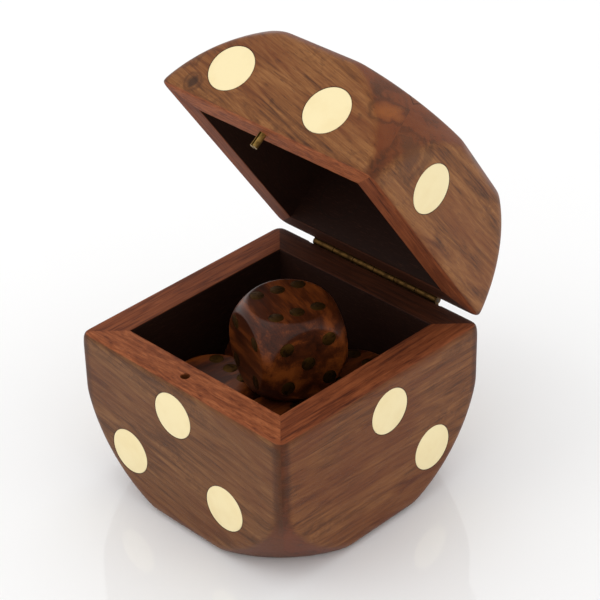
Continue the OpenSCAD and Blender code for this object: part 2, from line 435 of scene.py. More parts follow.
@dataclass(frozen=True)
class WoodFinish:
    """Satin lacquered hardwood, greyer on its flat face and redder where sanded round: partly its own
    colour, partly painted sheen.

    A span says where a mask starts and where it is full, in noise from 0 to 1 or in millimetres. A part
    says how much of the first of two figures is in their sum, and a strength how much a layer covers.
    """

    name: str
    tones: Tones
    grain: Grain
    slant: float = 0.0
    seed: float = 0.0
    knot_strength: float = 0.0
    eyes: tuple[Eye, ...] = ()
    rim: Tones = RIM
    # inner: the inner face's colour, a darker stain darkened further as painted shade for the shade inside
    # the box
    inner: Colour = linear(30, 13, 7)
    # line: the colour of the line round each spot, partly a glue joint and partly painted shade of the gap
    line: Colour = linear(30, 16, 9)

    streak: Figure = Figure(46.0, 4.2, 0, 5, 0.62, 1.7)
    fibre: Figure = Figure(11.0, 0.55, 3, 3, 0.6, 0.3)
    pore: Figure = Figure(3.6, 0.24, 7, 2, 0.5)
    cloud: Figure = Figure(55.0, 20.0, 5, 3, 0.5, 0.6)
    curl: Figure = Figure(3.2, 3.2, 9, 3, 0.6, 0.8)
    knot: Figure = Figure(17.0, 17.0, 11, 3, 0.5, 1.2)
    rim_grain: Figure = Figure(24.0, 1.5, 13, 4, 0.62, 0.7)
    mottle: Figure = Figure(11.0, 11.0, 15, 4, 0.6, 1.4)
    mottle_turn: tuple[float, float, float] = (0.3, 0.2, 0.0)

    tone_stops: tuple[float, float, float] = (0.34, 0.48, 0.63)
    streak_part: float = 0.66
    curl_clouds: Span = (0.36, 0.50)
    curl_span: Span = (0.44, 0.60)
    curl_strength: float = 0.38
    warm_streaks: Span = (0.36, 0.62)
    warm_part: float = 0.6
    warm_clouds: Span = (0.47, 0.62)
    warm_strength: float = 0.5

    mottle_part: float = 0.7
    round_span: Span = (0.1, 1.6)
    round_strength: float = 0.85
    edge_streaks: Span = (0.4, 0.6)
    edge_part: float = 0.5
    edge_span: Span = (44.6, 47.4)
    edge_strength: float = 0.85
    knot_span: Span = (0.60, 0.70)

    rim_span: Span = (-0.75, -0.35)
    rim_part: float = 0.7
    inside_gaps: Span = (0.30, 0.12)
    inner_stain_and_shade_strength: float = 0.95
    pore_span: Span = (0.60, 0.70)
    pore_strength: float = 0.5
    line_span: Span = (0.1, 0.36)
    line_strength: float = 0.8

    roughness: float = 0.4
    fibre_roughness: float = 0.22
    inside_roughness: float = 0.25
    rim_roughness: float = 0.3
    ior: float = 1.27
    fibre_height: float = 0.35
    dent_span: Span = (0.58, 0.72)
    dent_depth: float = 0.65
    relief: float = 0.05 * MM

    def dress(self, board: Board) -> bpy.types.Material:
        """Makes the material of a board.

        Args:
            board: where the board lies.

        Returns:
            The material.
        """
        layers = WoodLayers(self, board)
        layers.lay_face()
        layers.lay_round_places()
        layers.lay_knots()
        at_rim = layers.lay_rim()
        inside = layers.lay_inner_stain_and_shade()
        layers.lay_lines()
        return layers.lacquer(at_rim, inside)


class WoodLayers:
    """A wood finish on one board, laid one layer over the other."""

    def __init__(self, wood: WoodFinish, board: Board) -> None:
        """Starts the material and draws the figures that several layers share.

        Args:
            wood: the finish.
            board: where the board lies.
        """
        self.wood = wood
        self.board = board
        self.shader = Shader(bpy.data.materials.new(wood.name))
        self.where = self.shader.local(board.seat)
        self.place = self.shader.parts(self.where)
        self.depth = board.plane - self._reach(board.face)
        self.streaks = self._grained(wood.streak)
        self.fibres = self._grained(wood.fibre)
        self.pores = self._grained(wood.pore)
        self.clouds = self._grained(wood.cloud)
        self.mottle = wood.mottle.draw(self.shader, self.where, wood.seed, turn=wood.mottle_turn)
        self.colour: Any = wood.tones.middle

    def _reach(self, way: Vector) -> Wire:
        """How far a point lies from the origin in a direction, in millimetres."""
        x, y, z = self.place
        return x * way.x + y * way.y + z * way.z

    def _distance(self, middle: Sequence[float]) -> Wire:
        """How far a point of the face lies from a middle given by its two coordinates."""
        first, second = [part - at for part, at in zip(self.board.across(self.place), middle)]
        return (first * first + second * second).root()

    def _grained(self, figure: Figure) -> Wire:
        """Draws a figure along the board's slanted grain."""
        turn = [math.radians(self.wood.slant) * part for part in self.board.face]
        return figure.draw(self.shader, self.where, self.wood.seed, self.wood.grain, turn)

    def _toned(self, figure: Wire, tones: Tones) -> Wire:
        """The three tones over a figure."""
        return self.shader.ramp(figure, self.wood.tone_stops, (tones.dark, tones.middle, tones.light))

    def _cover(self, strength: Any, paint: Any) -> None:
        """Lays a colour over those below it."""
        self.colour = self.shader.mix(strength, self.colour, paint)

    def lay_face(self) -> None:
        """Lays the streaks of the flat face, and its curly and its warmer patches."""
        wood, tones = self.wood, self.wood.tones
        figure = self.streaks * wood.streak_part + self.fibres * (1 - wood.streak_part)
        self.colour = self._toned(figure, tones)
        curl = wood.curl.draw(self.shader, self.where, wood.seed)
        curly = (1 - self.clouds.step(*wood.curl_clouds)) * curl.step(*wood.curl_span)
        self._cover(curly * wood.curl_strength, tones.dark)
        warmer = self.streaks.step(*wood.warm_streaks) * wood.warm_part
        warm = self.shader.mix(warmer, tones.red, tones.middle)
        self._cover(self.clouds.step(*wood.warm_clouds) * wood.warm_strength, warm)

    def lay_round_places(self) -> None:
        """Reddens and mottles the wood where it is sanded round, partly its own colour and partly painted
        reflection, and darkens its upright edges.
        """
        wood, tones = self.wood, self.wood.tones
        figure = self.mottle * wood.mottle_part + self.streaks * (1 - wood.mottle_part)
        reddened = self._toned(figure, replace(tones, middle=tones.red, light=tones.red))
        # Painted reflection in part: the round places' darker red, against the flat face's greyer tone,
        # stands for the white surround's sheen that only the flat face shows.
        self._cover(self.depth.step(*wood.round_span) * wood.round_strength, reddened)
        if self.board.rim is not None:
            off = abs(self._reach(self.board.along))
            redder = self.streaks.step(*wood.edge_streaks) * wood.edge_part
            darkened_edge = self.shader.mix(redder, tones.dark, tones.red)
            self._cover(off.step(*wood.edge_span) * wood.edge_strength, darkened_edge)

    def lay_knots(self) -> None:
        """Lays the knots that are placed one by one, and then the ones that noise spreads."""
        dark = self.wood.tones.dark
        for eye in self.wood.eyes:
            off = self._distance(eye.middle) + (self.mottle - NOISE_MIDDLE) * eye.radius * eye.wander
            self._cover((1 - off.step(eye.radius * eye.core, eye.radius)) * eye.strength, eye.tint)
            from_ring = abs(off - eye.radius * eye.ring)
            ring = 1 - from_ring.step(eye.ring_fade, eye.radius * eye.ring_width)
            self._cover(ring * eye.ring_strength, dark)
        if self.wood.knot_strength:
            knot = self.wood.knot.draw(self.shader, self.where, self.wood.seed)
            self._cover(knot.step(*self.wood.knot_span) * self.wood.knot_strength, dark)

    def lay_rim(self) -> Any:
        """Lays the freshly sawn wood of the rim.

        Returns:
            A mask that is 1 on the rim, or 0 on a board that has none.
        """
        if self.board.rim is None:
            return 0.0
        height, way = self.board.rim
        at_rim = ((self.place[2] - height) * way).step(*self.wood.rim_span)
        grain = self._grained(self.wood.rim_grain)
        figure = grain * self.wood.rim_part + self.fibres * (1 - self.wood.rim_part)
        self._cover(at_rim, self._toned(figure, self.wood.rim))
        return at_rim

    def lay_inner_stain_and_shade(self) -> Wire:
        """Lays the dark colour of the board's inner face: a darker stain, darkened further as painted shade
        for the shade inside the box.

        Returns:
            A mask that is 1 on the inner face.
        """
        inside = self.depth.step(*(self.board.thick - gap for gap in self.wood.inside_gaps))
        self._cover(inside * self.wood.inner_stain_and_shade_strength, self.wood.inner)
        return inside

    def lay_lines(self) -> None:
        """Lays the fine dark pores, and the thin dark line round each spot, partly a glue joint and partly
        painted shade of the gap round the inlay.
        """
        wood = self.wood
        self._cover(self.pores.step(*wood.pore_span) * wood.pore_strength, wood.tones.dark)
        rings = []
        for spot in self.board.spots:
            off = abs(self._distance(self.board.across(spot)) - self.board.spot_r)
            rings.append(1 - off.step(*wood.line_span))
        self._cover(reduce(Wire.higher, rings) * wood.line_strength, wood.line)

    def lacquer(self, at_rim: Any, inside: Wire) -> bpy.types.Material:
        """Ends the material with its gloss and its relief.

        Args:
            at_rim: mask of the rim, which is duller.
            inside: mask of the inner face, which is duller too.

        Returns:
            The material.
        """
        wood = self.wood
        rough = (wood.roughness + (self.fibres - NOISE_MIDDLE) * wood.fibre_roughness
                 + inside * wood.inside_roughness + at_rim * wood.rim_roughness)
        height = self.fibres * wood.fibre_height - self.pores.step(*wood.dent_span) * wood.dent_depth
        return self.shader.finish(Base_Color=self.colour, Roughness=rough, IOR=wood.ior,
                                  Normal=self.shader.bump(height, wood.relief))


@dataclass(frozen=True)
class InlayFinish:
    """Cream inlay, sanded flush and lacquered with the wood."""

    name: str
    cream: Colour = linear(245, 228, 179)
    shade: Colour = linear(240, 220, 168)
    cloud: Figure = Figure(9.0, 9.0, 2, 3)
    cloud_span: Span = (0.4, 0.75)
    cloud_strength: float = 0.8
    speck: Figure = Figure(0.6, 0.6, 5, 2)
    speck_strength: float = 0.1
    roughness: float = 0.38
    cloud_roughness: float = 0.12
    gloss: float = 0.35
    relief: float = 0.01 * MM

    def dress(self, seat: Matrix) -> bpy.types.Material:
        """Makes the material of one set of discs.

        Args:
            seat: the turn and place of the discs.

        Returns:
            The material.
        """
        shader = Shader(bpy.data.materials.new(self.name))
        where = shader.local(seat)
        cloud = self.cloud.draw(shader, where)
        speck = self.speck.draw(shader, where)
        shaded = cloud.step(*self.cloud_span) * self.cloud_strength + speck * self.speck_strength
        return shader.finish(
            Base_Color=shader.mix(shaded, self.cream, self.shade),
            Roughness=self.roughness + cloud * self.cloud_roughness,
            Normal=shader.bump(speck, self.relief), Specular_IOR_Level=self.gloss)


@dataclass(frozen=True)
class DiceFinish:
    """Polished orange brown hardwood with darker bands, for the loose dice."""

    name: str
    # Painted shade in part: these dark wood colours are darkened further, standing for the shade inside the
    # box where the dice lie.
    deep: Colour = linear(38, 14, 4)
    body: Colour = linear(68, 29, 9)
    bright: Colour = linear(118, 58, 20)
    stops: tuple[float, float, float] = (0.34, 0.48, 0.64)
    band: Figure = Figure(30.0, 6.0, 0, 4, bend=0.4, deep=5.0)
    fibre: Figure = Figure(9.0, 0.5, 4, 3)
    band_part: float = 0.8
    turn: tuple[float, float, float] = (0.0, 0.1, 0.0)
    roughness: float = 0.30
    fibre_roughness: float = 0.14
    gloss: float = 0.2
    relief: float = 0.02 * MM

    def dress(self, seat: Matrix, seed: float) -> bpy.types.Material:
        """Makes the material of one die.

        Args:
            seat: the turn and place of the die.
            seed: moves the pattern, so that no two dice are alike.

        Returns:
            The material.
        """
        shader = Shader(bpy.data.materials.new(self.name))
        where = shader.local(seat)
        bands = self.band.draw(shader, where, seed, turn=self.turn)
        fibres = self.fibre.draw(shader, where, seed, turn=self.turn)
        figure = bands * self.band_part + fibres * (1 - self.band_part)
        return shader.finish(
            Base_Color=shader.ramp(figure, self.stops, (self.deep, self.body, self.bright)),
            Roughness=self.roughness + fibres * self.fibre_roughness,
            Normal=shader.bump(fibres, self.relief), Specular_IOR_Level=self.gloss)


@dataclass(frozen=True)
class MetalFinish:
    """Brass or steel with fine scratches and duller places."""

    name: str
    clean: Colour
    dull: Colour
    roughness: float
    tarnish: Figure = Figure(2.5, 2.5, 3, 3)
    tarnish_span: Span = (0.42, 0.7)
    matt_span: Span = (0.4, 0.8)
    matt_roughness: float = 0.25
    brushing: Figure = Figure(6.0, 0.15, 1, 2)
    brushed_roughness: float = 0.08
    relief: float = 0.008 * MM

    def dress(self, seat: Matrix) -> bpy.types.Material:
        """Makes the material of one piece.

        Args:
            seat: the turn and place of the piece.

        Returns:
            The material.
        """
        shader = Shader(bpy.data.materials.new(self.name))
        where = shader.local(seat)
        tarnish = self.tarnish.draw(shader, where)
        brushing = self.brushing.draw(shader, where)
        matt = tarnish.step(*self.matt_span) * self.matt_roughness
        return shader.finish(
            Base_Color=shader.mix(tarnish.step(*self.tarnish_span), self.clean, self.dull), Metallic=1.0,
            Roughness=self.roughness + matt + brushing * self.brushed_roughness,
            Normal=shader.bump(brushing, self.relief))


class Bench:
    """Modelling steps on one piece at a time, done with the operators that one would use by hand."""

    SOLVER = "MANIFOLD"
    SOFT_ANGLE = math.radians(30)
    RUB_FORCE = 0.5

    @staticmethod
    def pick(*pieces: Piece) -> None:
        """Selects these pieces alone and makes the last one active.

        Args:
            pieces: the pieces, or none to clear the selection.
        """
        bpy.ops.object.select_all(action="DESELECT")
        for piece in pieces:
            piece.select_set(True)
        if pieces:
            bpy.context.view_layer.objects.active = pieces[-1]

    @classmethod
    @contextmanager
    def editing(cls, piece: Piece) -> Iterator[None]:
        """Opens a piece in edit mode with all of it selected, and closes it again.

        Args:
            piece: the piece.

        Returns:
            A context that lasts as long as the piece is open.
        """
        cls.pick(piece)
        bpy.ops.object.mode_set(mode="EDIT")
        bpy.ops.mesh.select_all(action="SELECT")
        yield
        bpy.ops.object.mode_set(mode="OBJECT")

    @staticmethod
    def _settle() -> None:
        """Applies the place, turn and size of what is selected to its mesh."""
        bpy.ops.object.transform_apply(location=True, rotation=True, scale=True)

    @staticmethod
    def _named(name: str) -> Piece:
        """Names the active piece and its mesh.

        Args:
            name: the name for both.

        Returns:
            The piece.
        """
        piece = bpy.context.active_object
        piece.name = name
        piece.data.name = name
        return piece

    @classmethod
    def block(cls, name: str, low: Vector, high: Vector) -> Piece:
        """Adds a block.

        Args:
            name: its name.
            low, high: two opposite corners.

        Returns:
            The block.
        """
        cls.pick()
        bpy.ops.mesh.primitive_cube_add(size=1, location=(low + high) / 2, scale=high - low)
        cls._settle()
        return cls._named(name)

    @classmethod
    def bar(cls, name: str, start: Vector, end: Vector, radius: float, facets: Facets) -> Piece:
        """Adds a round bar from one point to another.

        Args:
            name: its name.
            start, end: the middles of its two ends.
            radius: its radius.
            facets: how round it is made.

        Returns:
            The bar.
        """
        cls.pick()
        turn = (end - start).to_track_quat("Z", "Y").to_euler()
        bpy.ops.mesh.primitive_cylinder_add(
            vertices=facets, radius=radius, depth=(end - start).length, location=(start + end) / 2,
            rotation=turn)
        cls._settle()
        return cls._named(name)

    @classmethod
    def ball(cls, name: str, middle: Vector, radius: float) -> Piece:
        """Adds a ball.

        Args:
            name: its name.
            middle: its middle.
            radius: its radius.

        Returns:
            The ball.
        """
        cls.pick()
        bpy.ops.mesh.primitive_uv_sphere_add(
            segments=Facets.SHELL, ring_count=Facets.SHELL // 2, radius=radius, location=middle)
        cls._settle()
        return cls._named(name)

    @classmethod
    def modify(cls, piece: Piece, kind: str, **settings: Any) -> None:
        """Adds a modifier to a piece and applies it.

        Args:
            piece: the piece.
            kind: the modifier's type.
            settings: its settings.
        """
        cls.pick(piece)
        modifier = piece.modifiers.new(kind, kind)
        for key, value in settings.items():
            setattr(modifier, key, value)
        bpy.ops.object.modifier_apply(modifier=modifier.name)

    @classmethod
    def combine(cls, piece: Piece, tool: Piece, operation: str) -> None:
        """Works a piece with a tool by a Boolean operation, and throws the tool away."""
        cls.modify(piece, "BOOLEAN", object=tool, operation=operation, solver=cls.SOLVER)
        bpy.data.objects.remove(tool)

    @classmethod
    def ease(cls, piece: Piece, width: float, segments: int) -> None:
        """Rounds the sharp edges of a piece."""
        cls.modify(piece, "BEVEL", width=width, segments=segments, limit_method="ANGLE")

    @classmethod
    def sand(cls, piece: Piece, voxel: float, rub: int) -> None:
        """Gives a piece an even mesh and rubs its ridges soft.

        Args:
            piece: the piece.
            voxel: size of the mesh's cells.
            rub: how many times it is rubbed.
        """
        cls.modify(piece, "REMESH", mode="VOXEL", voxel_size=voxel, use_smooth_shade=True)
        cls.modify(piece, "SMOOTH", factor=cls.RUB_FORCE, iterations=rub)

    @classmethod
    def saw(cls, piece: Piece, point: Vector, waste: Vector) -> None:
        """Saws a piece through at a plane and closes the cut.

        Args:
            piece: what is sawn.
            point: any point of the plane.
            waste: the direction that the part which falls off lies in.
        """
        with cls.editing(piece):
            bpy.ops.mesh.bisect(plane_co=point, plane_no=waste, use_fill=True, clear_outer=True)

    @classmethod
    def copy(cls, piece: Piece, name: str) -> Piece:
        """Copies a piece with a mesh of its own.

        Args:
            piece: the piece.
            name: the copy's name.

        Returns:
            The copy.
        """
        twin = piece.copy()
        twin.data = piece.data.copy()
        twin.name = twin.data.name = name
        bpy.context.scene.collection.objects.link(twin)
        return twin

    @classmethod
    def join(cls, pieces: Sequence[Piece], name: str) -> Piece:
        """Joins pieces into one object that keeps them as separate solids.

        Args:
            pieces: the pieces, one or more.
            name: the object's name.

        Returns:
            The object.
        """
        cls.pick(*pieces)
        if len(pieces) > 1:
            bpy.ops.object.join()
        return cls._named(name)

    @classmethod
    def seat(cls, piece: Piece, seat: Matrix) -> None:
        """Turns and moves a piece into its place, and leaves its object at the origin.

        Args:
            piece: the piece.
            seat: its turn and place.
        """
        cls.pick(piece)
        piece.matrix_world = seat
        cls._settle()

    @classmethod
    def polish(cls, piece: Piece) -> None:
        """Faces all of a piece outwards and shades it smooth across its flatter edges.

        Args:
            piece: the piece.
        """
        with cls.editing(piece):
            bpy.ops.mesh.normals_make_consistent(inside=False)
        bpy.ops.object.shade_smooth_by_angle(angle=cls.SOFT_ANGLE)


def solids(node: str, seat: Matrix) -> list[Vector]:
    """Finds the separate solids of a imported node.

    Args:
        node: the node's name.
        seat: the turn and place that the node was given.

    Returns:
        The middle of each solid before it was set in that seat, in the order of their places.
    """
    mesh = bmesh.new()
    mesh.from_mesh(frame["nodes"][node].data)
    bmesh.ops.remove_doubles(mesh, verts=mesh.verts, dist=WELD_GAP)
    back = seat.inverted()
    left = set(mesh.verts)
    middles = []
    while left:
        reached = {left.pop()}
        edge = list(reached)
        while edge:
            for link in edge.pop().link_edges:
                for vert in link.verts:
                    if vert in left:
                        left.discard(vert)
                        reached.add(vert)
                        edge.append(vert)
        places = [back @ vert.co for vert in reached]
        low = Vector(min(p[i] for p in places) for i in range(3))
        high = Vector(max(p[i] for p in places) for i in range(3))
        middles.append((low + high) / 2)
    mesh.free()
    return sorted(middles, key=lambda p: tuple(round(v, SORT_DIGITS) for v in p))


def deliver(piece: Piece, node: str, material: bpy.types.Material) -> None:
    """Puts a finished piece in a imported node's place.

    Args:
        piece: the piece.
        node: the node that it stands for.
        material: its finish.
    """
    piece.data.materials.clear()
    piece.data.materials.append(material)
    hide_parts(node)
    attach(piece, frame["nodes"][node]["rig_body"])
    LOG.info("%s: %d faces", piece.name, len(piece.data.polygons))


@dataclass
class Measures:
    """Sizes that the pieces share, in metres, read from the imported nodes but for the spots' radius."""

    side: float
    rim: float
    lid_rim: float
    wall: float
    panel: float
    hinge: Vector
    open_turn: float
    spot_r: float = 8.8 * MM

    @classmethod
    def read(cls) -> "Measures":
        """Reads the sizes from the frame.

        Returns:
            The sizes.
        """
        joint = next(j for j in frame["joints"] if j["type"] == "hinge")
        low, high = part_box("base_front_wall")
        hinge = Vector(joint["pos_m"])
        return cls(
            side=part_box("base_right_wall")[1].x * 2, rim=high.z, lid_rim=2 * hinge.z - high.z,
            wall=high.y - low.y, panel=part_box("base_floor")[1].z, hinge=hinge,
            open_turn=math.radians(-joint["range_deg"][0]))

    @property
    def lid_seat(self) -> Matrix:
        """The turn and place of the open lid, which is built shut."""
        pivot = Matrix.Translation(self.hinge)
        return pivot @ Matrix.Rotation(-self.open_turn, 4, "X") @ pivot.inverted()


@dataclass
class SandedCube:
    """The outside that base and lid share: a cube sanded down to a ball and to drums along its axes."""

    side: float
    ball_r: float = 70.6 * MM
    upright_r: float = 69.9 * MM
    level_r: float = 68.5 * MM
    voxel: float = 0.7 * MM
    rub: int = 36
    drum_over: float = 1.2

    def build(self, rim: float, way: int) -> Piece:
        """Builds the outside of one half as a closed solid, with its ridges rubbed soft.

        Args:
            rim: height of the rim that the cube is sawn at.
            way: the way that the rim looks, +1 for up and -1 for down.

        Returns:
            The half as a solid block.
        """
        half = self.side / 2
        middle = UP * half
        blank = Bench.block("sanded_cube", Vector((-half, -half, 0)), Vector((half, half, self.side)))
        Bench.combine(blank, Bench.ball("ball", middle, self.ball_r), "INTERSECT")
        level = [(side.out, self.level_r) for side in (Side.RIGHT, Side.REAR)]
        for axis, radius in [(UP, self.upright_r), *level]:
            reach = axis * half * self.drum_over
            drum = Bench.bar("drum", middle - reach, middle + reach, radius, Facets.SHELL)
            Bench.combine(blank, drum, "INTERSECT")
        Bench.saw(blank, UP * rim, UP * way)
        Bench.sand(blank, self.voxel, self.rub)
        return blank


@dataclass
class Shell:
    """One half of the box: four mitred walls and a panel, sawn from the sanded cube, and their spots."""

    sizes: Measures
    blank: Piece
    rim: float
    seat: Matrix
    woods: Mapping[Side, WoodFinish]
    panel_wood: WoodFinish
    panel_node: str
    spot_nodes: Mapping[Side, str]
    panel_spots: str
    rim_ease: float = 0.35 * MM
    stencil_over: float = 1.2
    pocket_gap: float = 0.1 * MM
    spot_t: float = 2 * MM
    spot_ease: float = 0.12 * MM
    spot_ease_steps: int = 3
    groove_r: float = 1.8 * MM
    groove_over: float = 2.5 * MM
    half: float = field(init=False)
    spots: Mapping[Side, Sequence[Vector]] = field(init=False)

    NAME: ClassVar[str]
    WAY: ClassVar[int]

    def __post_init__(self) -> None:
        """Finds half of the cube's side, and the middles of the walls' spots."""
        self.half = self.sizes.side / 2
        self.spots = {side: solids(node, self.seat) for side, node in self.spot_nodes.items()}

    def build(self) -> None:
        """Builds the four walls, the panel and all the spots of this half."""
        for side in Side:
            self._wall(side)
        self._panel()
        bpy.data.objects.remove(self.blank)
        for side, node in self.spot_nodes.items():
            self._disc_set(node, self.spots[side], side.out)

    def _board(self, face: Vector, plane: float, thick: float, rim: tuple[float, int] | None,
               spots: Sequence[Vector]) -> Board:
        """Says where a board lies, in the millimetres that its finish works in.

        Args:
            face: the way that it faces.
            plane: how far its outer face lies that way, in metres.
            thick: its thickness in metres.
            rim: its rim, already in millimetres, or none.
            spots: the middles of its spots in metres.

        Returns:
            The board's place.
        """
        return Board(face, plane / MM, thick / MM, self.seat, rim, [spot / MM for spot in spots],
                     self.sizes.spot_r / MM)

    def _stencil(self, side: Side) -> Piece:
        """Makes the block that a wall is cut with, mitred at its ends and eased at the rim's inner edge.

        Args:
            side: the wall's side.

        Returns:
            The block.
        """
        reach = self.half * self.stencil_over
        look = UP * self.WAY
        inner = side.out * (self.half - self.sizes.wall) + UP * self.rim
        near = inner + side.along * reach
        far = inner + side.out * reach - side.along * reach - look * 2 * reach
        low, high = (Vector(pick(pair) for pair in zip(near, far)) for pick in (min, max))
        stencil = Bench.block("stencil", low, high)
        for waste in (side.along - side.out, -side.along - side.out):
            Bench.saw(stencil, ORIGIN, waste)
        Bench.saw(stencil, inner - look * self.rim_ease, look - side.out)
        return stencil

    def _wall(self, side: Side) -> None:
        """Cuts and finishes one wall.

        Args:
            side: the wall's side.
        """
        name = f"{self.NAME}_{side.name.lower()}_wall"
        spots = self.spots[side]
        wall = Bench.copy(self.blank, f"{name}_wood")
        Bench.combine(wall, self._stencil(side), "INTERSECT")
        for spot in spots:
            self._pocket(wall, spot, side.out)
        self._fit_hardware(wall, side)
        Bench.polish(wall)
        Bench.seat(wall, self.seat)
        board = self._board(side.out, self.half, self.sizes.wall, (self.rim / MM, self.WAY), spots)
        deliver(wall, name, self.woods[side].dress(board))

    def _pocket(self, board: Piece, spot: Vector, out: Vector) -> None:
        """Sinks the pocket of one spot.

        Args:
            board: the wall or panel.
            spot: the spot's middle.
            out: the way that the board faces.
        """
        start = spot - out * self.spot_t / 2
        end = start + out * self.spot_t * 2
        tool = Bench.bar("pocket", start, end, self.sizes.spot_r + self.pocket_gap, Facets.SPOT)
        Bench.combine(board, tool, "DIFFERENCE")

    def _fit_hardware(self, wall: Piece, side: Side) -> None:
        """Cuts the groove that clears the hinge's barrel along the rear wall's rim.

        Args:
            wall: any wall of this half.
            side: the wall's side.
        """
        if side is Side.REAR:
            low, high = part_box("hinge_pin")
            start = Vector((low.x - self.groove_over, self.sizes.hinge.y, self.sizes.hinge.z))
            end = Vector((high.x + self.groove_over, self.sizes.hinge.y, self.sizes.hinge.z))
            Bench.combine(wall, Bench.bar("groove", start, end, self.groove_r, Facets.GROOVE), "DIFFERENCE")

    def _panel_span(self) -> Span:
        """The heights that the panel is cut between, one of them outside the cube."""
        raise NotImplementedError

    def _panel(self) -> None:
        """Cuts and finishes the panel that closes this half."""
        panel = Bench.copy(self.blank, f"{self.panel_node}_wood")
        inner = self.half - self.sizes.wall
        low, high = self._panel_span()
        stencil = Bench.block("stencil", Vector((-inner, -inner, low)), Vector((inner, inner, high)))
        Bench.combine(panel, stencil, "INTERSECT")
        spots = solids(self.panel_spots, self.seat)
        out = UP * -self.WAY
        for spot in spots:
            self._pocket(panel, spot, out)
        Bench.polish(panel)
        Bench.seat(panel, self.seat)
        plane = self.half - self.half * self.WAY
        board = self._board(out, plane, self.sizes.panel, None, spots)
        deliver(panel, self.panel_node, self.panel_wood.dress(board))
        self._disc_set(self.panel_spots, spots, out)

    def _disc_set(self, node: str, spots: Sequence[Vector], out: Vector) -> None:
        """Makes the spots of one side as separate discs in one piece.

        Args:
            node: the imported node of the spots.
            spots: their middles.
            out: the way that they face.
        """
        reach = out * self.spot_t / 2
        discs = []
        for spot in spots:
            disc = Bench.bar("disc", spot - reach, spot + reach, self.sizes.spot_r, Facets.SPOT)
            Bench.ease(disc, self.spot_ease, self.spot_ease_steps)
            discs.append(disc)
        group = Bench.join(discs, f"{node}_inlay")
        Bench.polish(group)
        Bench.seat(group, self.seat)
        deliver(group, node, InlayFinish("cream_inlay").dress(self.seat))


@dataclass
class Base(Shell):
    """The lower half, whose front rim also has the catch's hole."""

    hole_r: float = 1.75 * MM
    hole_depth: float = 6.5 * MM
    catch_place: Vector = Vector((-2.5 * MM, -43.4 * MM, 0))

    NAME: ClassVar[str] = "base"
    WAY: ClassVar[int] = 1

    def _fit_hardware(self, wall: Piece, side: Side) -> None:
        """Cuts the hinge's groove in the rear wall and the catch's hole in the front one.

        Args:
            wall: any wall of this half.
            side: the wall's side.
        """
        super()._fit_hardware(wall, side)
        if side is Side.FRONT:
            mouth = self.catch_place + UP * (self.rim + self.rim_ease)
            bottom = mouth - UP * (self.hole_depth + self.rim_ease)
            Bench.combine(wall, Bench.bar("hole", bottom, mouth, self.hole_r, Facets.BORE), "DIFFERENCE")

    def _panel_span(self) -> Span:
        """From well under the floor panel to its upper face."""
        return -self.half, self.sizes.panel


@dataclass
class Lid(Shell):
    """The upper half, which is built shut and then set in its open seat."""

    NAME: ClassVar[str] = "lid"
    WAY: ClassVar[int] = -1

    def _panel_span(self) -> Span:
        """From the top panel's lower face to well over it."""
        return self.sizes.side - self.sizes.panel, self.sizes.side + self.half


@dataclass(frozen=True)
class DieSeat:
    """Where one die lies: its nodes, its turn about Z in degrees and its pattern's seed."""

    name: str
    turn: float
    seed: float

    @property
    def matrix(self) -> Matrix:
        """The turn and place of the die, with its middle from the frame."""
        low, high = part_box(f"die_{self.name}")
        return Matrix.Translation((low + high) / 2) @ Matrix.Rotation(math.radians(self.turn), 4, "Z")


